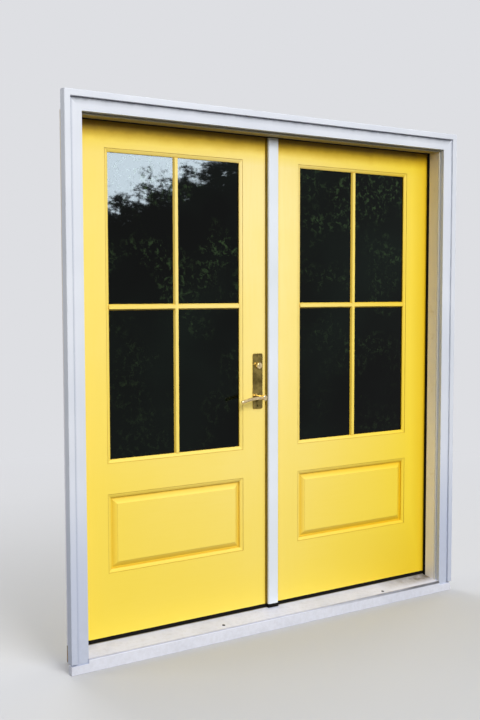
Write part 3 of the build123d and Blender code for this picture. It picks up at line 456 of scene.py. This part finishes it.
materials = {
    "stile": leaf_paint("leaf paint upright", "Z"),
    "rail": leaf_paint("leaf paint across", "X"),
    # Upright casing: dust at the foot, painted shade in the corners and painted shade towards the
    # foot
    "casing_leg": paint(
        "casing paint upright", WALL_WHITE, WALL_SHADE, "Z", 0.45, 0.10,
        (dusty_foot, 0.14), (shaded_corners, 0.85), (shaded_foot, 0.5),
    ),
    # Head casing: a painted shadow under the band
    "casing_head": paint(
        "casing paint across", WALL_WHITE, WALL_SHADE, "X", 0.45, 0.10, (band_shadow_line, BAND_FOOT),
    ),
    "band_head": paint("band paint across", WALL_WHITE, WALL_SHADE, "X", 0.45, 0.10),
    # Nosing: dust, and a painted shadow under the deck's lip
    "nosing": paint(
        "nosing paint", srgb(229, 231, 242), srgb(216, 219, 232), "X", 0.5, 0.14,
        (dusty_foot, 0.10), (shadow_under_lip, LIP_FOOT),
    ),
    # Jamb legs: painted shade, darker and yellower, towards the head
    "jamb_leg": jamb_paint("jamb paint upright", "Z", srgb(230, 220, 202), srgb(247, 246, 255)),
    # Head jamb: dark all over as painted shade
    "jamb_head": jamb_paint("jamb paint across", "X", srgb(166, 152, 104), srgb(166, 152, 104)),
    "astragal": paint("astragal paint", srgb(224, 230, 240), srgb(212, 219, 226), "Z", 0.42, 0.10),
    "rubber": rubber("black rubber", srgb(6, 4, 3), srgb(14, 10, 7)),
    # The astragal's seal, coloured brown-gold as painted shade on the yellow stile beside it
    "shaded_bulb": rubber("seal in painted shade", srgb(116, 95, 18), srgb(96, 78, 14)),
    "brass": brass("lock brass", srgb(150, 130, 72), srgb(58, 48, 20), 0.20, 0.85),
    "handled": brass("handled brass", srgb(240, 216, 166), srgb(136, 110, 60), 0.12, 0.60),
    "hinge": brass("hinge brass", srgb(190, 160, 96), srgb(120, 98, 52), 0.3, 0.5),
    "steel": metal("brushed steel", srgb(176, 176, 172), srgb(140, 138, 132), 0.32, "Z", 1.0),
    # Deck: dust, painted shade along its front lip and a darker patch in its right-hand corner
    "deck": metal(
        "mill finish deck", srgb(209, 212, 231), srgb(198, 201, 218), 0.55, "X", 0.0,
        (dusty_metal, 0.12), (shaded_lip, LIP_FRONT),
    ),
    "saddle": metal(
        "saddle cap", srgb(150, 142, 124), srgb(124, 116, 98), 0.55, "X", 0.0, (dusty_metal, 0.3),
    ),
    "spacer": metal("spacer metal", srgb(88, 88, 86), srgb(60, 60, 58), 0.4, "Z", 1.0),
    "core": raw_wood("sill core wood"),
    "glass": glass("insulating glass"),
    "rust": rubber("rusted screw", srgb(20, 15, 12), srgb(34, 26, 20)),
}

# The CAD nodes of each finish. In LEAF_NODES each name stands without its active_ or passive_
FRAME_AND_LOCK_NODES = {
    "core": ("sill_base",),
    "saddle": ("threshold_cap",),
    "deck": ("sill_deck",),
    "nosing": ("sill_nosing",),
    "jamb_leg": ("jamb_left", "jamb_right"),
    "jamb_head": ("jamb_head",),
    "rubber": ("seal_left", "seal_right", "seal_head"),
    "casing_leg": ("casing_left", "casing_right", "backband_left", "backband_right"),
    "casing_head": ("casing_head",),
    "band_head": ("backband_head",),
    "hinge": ("jamb_hinge_leaves", "hinge_pins"),
    "brass": (
        "flush_bolt_strikes", "outside_plate", "inside_plate", "latch_bolt", "dead_bolt",
        "lock_strikes", "flush_bolt_plates",
    ),
    "handled": ("outside_lever", "inside_lever", "key_cylinder", "thumb_turn"),
    "steel": (
        "lever_spindle", "latch_case", "deadbolt_case", "top_flush_bolt", "bottom_flush_bolt",
    ),
    "astragal": ("astragal",),
    "shaded_bulb": ("astragal_seal",),
}
LEAF_NODES = {
    "stile": ("hinge_stile", "lock_stile", "meeting_stile", "grilles", "glazing_beads"),
    "rail": ("top_rail", "mid_rail", "bottom_rail", "panel"),
    "glass": ("panes",),
    "spacer": ("spacer",),
    "rubber": ("sweep",),
    "hinge": ("hinge_leaves",),
}


def dress_nodes():
    """Give every CAD node the material of its finish."""
    finish_of = {}
    for finish, names in FRAME_AND_LOCK_NODES.items():
        finish_of.update(dict.fromkeys(names, finish))
    for finish, names in LEAF_NODES.items():
        for name in names:
            finish_of[f"active_{name}"] = finish_of[f"passive_{name}"] = finish
    for name, node in nodes.items():
        material = materials[finish_of[name]]
        if not node.material_slots:
            node.data.materials.append(material)
        for each in node.material_slots:
            each.material = material


# Screw heads. HEAD_PROFILE gives shares of the radius and of the height; lengths are in metres
HEAD_SIDES = 20
HEAD_PROFILE = ((1.0, 0.0), (0.92, 0.65), (0.66, 1.0))
SLOT_REACH, SLOT_HALF_WIDTH = 0.52, 0.09
SLOT_LIFT, SLOT_STEP = 1.02, 0.01
PLATE_SCREW, PLATE_SCREW_INSET = (0.0034, 0.0008), 0.012
HINGE_SCREW, HINGE_LEVELS = (0.0036, 0.0003), (1.8583, 1.1362, 0.4140)
HINGE_SCREW_PLACES = ((0.094, 0.036), (0.106, 0.013), (0.106, -0.013), (0.094, -0.036))
JAMB_HINGE_FACE, LEAF_HINGE_FACE = 0.9229, 0.9199
DECK_SCREW, DECK_FACING = (0.0065, 0.0014), (0.0, -0.1578, 0.9875)
DECK_SCREW_PLACES = ((-0.292, 0.0044, 0.05536), (0.578, -0.0042, 0.05398))


def screw_heads(name, body, spots, size, finish):
    """Low domed heads with a cross slot. Each spot is a place and the way the head faces."""
    radius, proud = size
    builder = bmesh.new()
    for place, facing in spots:
        turn = Vector(facing).to_track_quat("Z", "Y").to_matrix()
        centre = Vector(place)
        rings = []
        for radius_share, height_share in HEAD_PROFILE:
            across, height = radius_share * radius, height_share * proud
            ring = []
            for step in range(HEAD_SIDES):
                angle = math.tau * step / HEAD_SIDES
                local = Vector((across * math.cos(angle), across * math.sin(angle), height))
                ring.append(builder.verts.new(centre + turn @ local))
            rings.append(ring)
        for lower, upper in zip(rings, rings[1:]):
            for step in range(HEAD_SIDES):
                after = (step + 1) % HEAD_SIDES
                corners = (lower[step], lower[after], upper[after], upper[step])
                builder.faces.new(corners).smooth = True
        builder.faces.new(rings[-1])
        lift = proud * SLOT_LIFT
        reach, half = SLOT_REACH * radius, SLOT_HALF_WIDTH * radius
        for x, y in ((reach, half), (half, reach)):
            corners = ((-x, -y), (x, -y), (x, y), (-x, y))
            slot = [builder.verts.new(centre + turn @ Vector((*spot, lift))) for spot in corners]
            builder.faces.new(slot).material_index = 1
            lift += proud * SLOT_STEP
    mesh = bpy.data.meshes.new(name)
    builder.to_mesh(mesh)
    builder.free()
    piece = bpy.data.objects.new(name, mesh)
    bpy.context.scene.collection.objects.link(piece)
    mesh.materials.append(materials[finish])
    mesh.materials.append(materials["rubber"])
    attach(piece, body)


def plate_screws():
    """Two screws in each of the long lock plates."""
    spots = []
    for node, facing in (("outside_plate", -1.0), ("inside_plate", 1.0)):
        low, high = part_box(node)
        x = (low[0] + high[0]) / 2
        y = low[1] if facing < 0 else high[1]
        for z in (low[2] + PLATE_SCREW_INSET, high[2] - PLATE_SCREW_INSET):
            spots.append(((x, y, z), (0.0, facing, 0.0)))
    screw_heads("plate_screws", "active_leaf", spots, PLATE_SCREW, "brass")


def hinge_screws():
    """Four screws in each hinge leaf, on the faces that show when a leaf stands open."""
    groups = {"frame": [], "active_leaf": [], "passive_leaf": []}
    for side, body in ((-1.0, "active_leaf"), (1.0, "passive_leaf")):
        for level in HINGE_LEVELS:
            for depth, rise in HINGE_SCREW_PLACES:
                height = level + rise
                on_jamb = (side * JAMB_HINGE_FACE, depth, height)
                on_leaf = (side * LEAF_HINGE_FACE, depth, height)
                groups["frame"].append((on_jamb, (-side, 0.0, 0.0)))
                groups[body].append((on_leaf, (side, 0.0, 0.0)))
    for body, spots in groups.items():
        screw_heads(f"hinge_screws_{body}", body, spots, HINGE_SCREW, "hinge")


def deck_fixings():
    """Two dark screws in the sloping sill deck."""
    spots = [(place, DECK_FACING) for place in DECK_SCREW_PLACES]
    screw_heads("deck_fixings", "frame", spots, DECK_SCREW, "rust")


# Stage and light
BACKDROP, FLOOR, FLOOR_BOUNCE = srgb(222, 223, 227), srgb(186, 186, 188), (0.10, 0.09, 0.08)
FLOOR_REACH, FLOOR_LEVEL, FLOOR_FADES = 40.0, -0.0005, (1.3, 5.0)
WORLD_COLOUR, WORLD_LOW, WORLD_HIGH, WORLD_RISE = (0.92, 0.96, 1.0), 0.02, 0.90, (0.12, 0.9)
SKY_SLANT, SKY_RAGGED, SKY_EDGE = -0.60, 2.2, (1.19, 1.27)
# Each lamp's place, aim, width and height in metres, watts, colour, and spread in degrees
LAMPS = {
    "key": (
        (-0.2, -7.5, 5.3), (-0.2, 0.0, 0.6), (4.5, 4.0), 154.0, (1.0, 0.99, 0.97), 75.0,
    ),
    "sky": (
        (1.86, -4.0, 2.44), (-0.6, 0.0, 1.85), (1.25, 0.85), 262.0, (0.76, 0.90, 1.0), 180.0,
    ),
    "room": (
        (0.0, 4.2, 3.8), (0.0, 0.1, 1.0), (3.0, 2.0), 150.0, (1.0, 0.98, 0.95), 180.0,
    ),
    "side_-1": (
        (-5.0, 1.6, 2.6), (-0.9, 0.1, 1.0), (2.0, 2.0), 60.0, (1.0, 1.0, 1.0), 180.0,
    ),
    "side_+1": (
        (5.0, 1.6, 2.6), (0.9, 0.1, 1.0), (2.0, 2.0), 60.0, (1.0, 1.0, 1.0), 180.0,
    ),
}


def make_floor_material():
    """Pale floor that keeps the shadow near the object and runs into the backdrop far off."""
    material = bpy.data.materials.new("floor")
    material.use_nodes = True
    material.node_tree.nodes.clear()
    g = Graph(material.node_tree)
    near = g.node("ShaderNodeBsdfDiffuse", 0, {"Color": FLOOR})
    far = g.node("ShaderNodeEmission", 0, {"Color": BACKDROP})
    distance = g.node("ShaderNodeVectorMath", "Value", {0: g.where}, operation="LENGTH")
    fade = g.span(distance, *FLOOR_FADES, curve="SMOOTHSTEP")
    shown = g.mix_shaders(fade, near, far)
    dull = g.node("ShaderNodeBsdfDiffuse", 0, {"Color": FLOOR_BOUNCE})
    g.show("ShaderNodeOutputMaterial", g.mix_shaders(g.seen_directly(), dull, shown))
    return material


def make_stage():
    """One large floor."""
    mesh = bpy.data.meshes.new("floor")
    ends = ((-1.0, -1.0), (1.0, -1.0), (1.0, 1.0), (-1.0, 1.0))
    corners = [(x * FLOOR_REACH, y * FLOOR_REACH, FLOOR_LEVEL) for x, y in ends]
    mesh.from_pydata(corners, [], [(0, 1, 2, 3)])
    floor = bpy.data.objects.new("floor", mesh)
    bpy.context.scene.collection.objects.link(floor)
    floor.data.materials.append(make_floor_material())


def make_world():
    """Soft light that comes mostly from above, behind a plain pale backdrop."""
    world = bpy.data.worlds.new("studio")
    bpy.context.scene.world = world
    world.use_nodes = True
    world.node_tree.nodes.clear()
    g = Graph(world.node_tree, ("ShaderNodeTexCoord", "Generated"))
    strength = g.span(g.axis("Z"), *WORLD_RISE, WORLD_LOW, WORLD_HIGH)
    lit = g.node("ShaderNodeBackground", 0, {"Color": WORLD_COLOUR, "Strength": strength})
    plain = g.node("ShaderNodeBackground", 0, {"Color": BACKDROP, "Strength": 1.0})
    g.show("ShaderNodeOutputWorld", g.mix_shaders(g.seen_directly(), lit, plain))


def make_light(name, place, aim, size, power, colour, spread):
    """An area lamp that faces its aim."""
    data = bpy.data.lights.new(name, "AREA")
    data.shape = "RECTANGLE"
    data.size, data.size_y = size
    data.spread = math.radians(spread)
    data.energy = power
    data.color = colour
    light = bpy.data.objects.new(name, data)
    bpy.context.scene.collection.objects.link(light)
    light.location = place
    light.rotation_mode = "QUATERNION"
    light.rotation_quaternion = (Vector(aim) - Vector(place)).to_track_quat("-Z", "Y")
    return light


def break_up(light):
    """Give a lamp a ragged, slanting lower edge, as sky that shows past tree tops has."""
    light.data.use_nodes = True
    g = Graph(light.data.node_tree, ("ShaderNodeNewGeometry", "Parametric"))
    slant = g.math("MULTIPLY_ADD", g.axis("X"), SKY_SLANT, g.axis("Y"))
    ragged = g.math("MULTIPLY_ADD", g.noise(6.5, 10.0, 0.86), SKY_RAGGED, slant)
    emission = g.tree.nodes["Emission"]
    g.put(emission.inputs["Strength"], g.span(ragged, *SKY_EDGE, curve="SMOOTHSTEP"))


def only_on(light, names):
    """Keep the lamp that stands for the sky in the glass off everything but the glass."""
    lit = bpy.data.collections.new(f"lit by {light.name}")
    for name in names:
        lit.objects.link(nodes[name])
    light.light_linking.receiver_collection = lit


dress_nodes()
plate_screws()
hinge_screws()
deck_fixings()
make_camera()
make_stage()
make_world()
lamps = {name: make_light(name, *values) for name, values in LAMPS.items()}
break_up(lamps["sky"])
only_on(lamps["sky"], ("active_panes", "passive_panes"))

bpy.context.scene.view_settings.view_transform = "Standard"
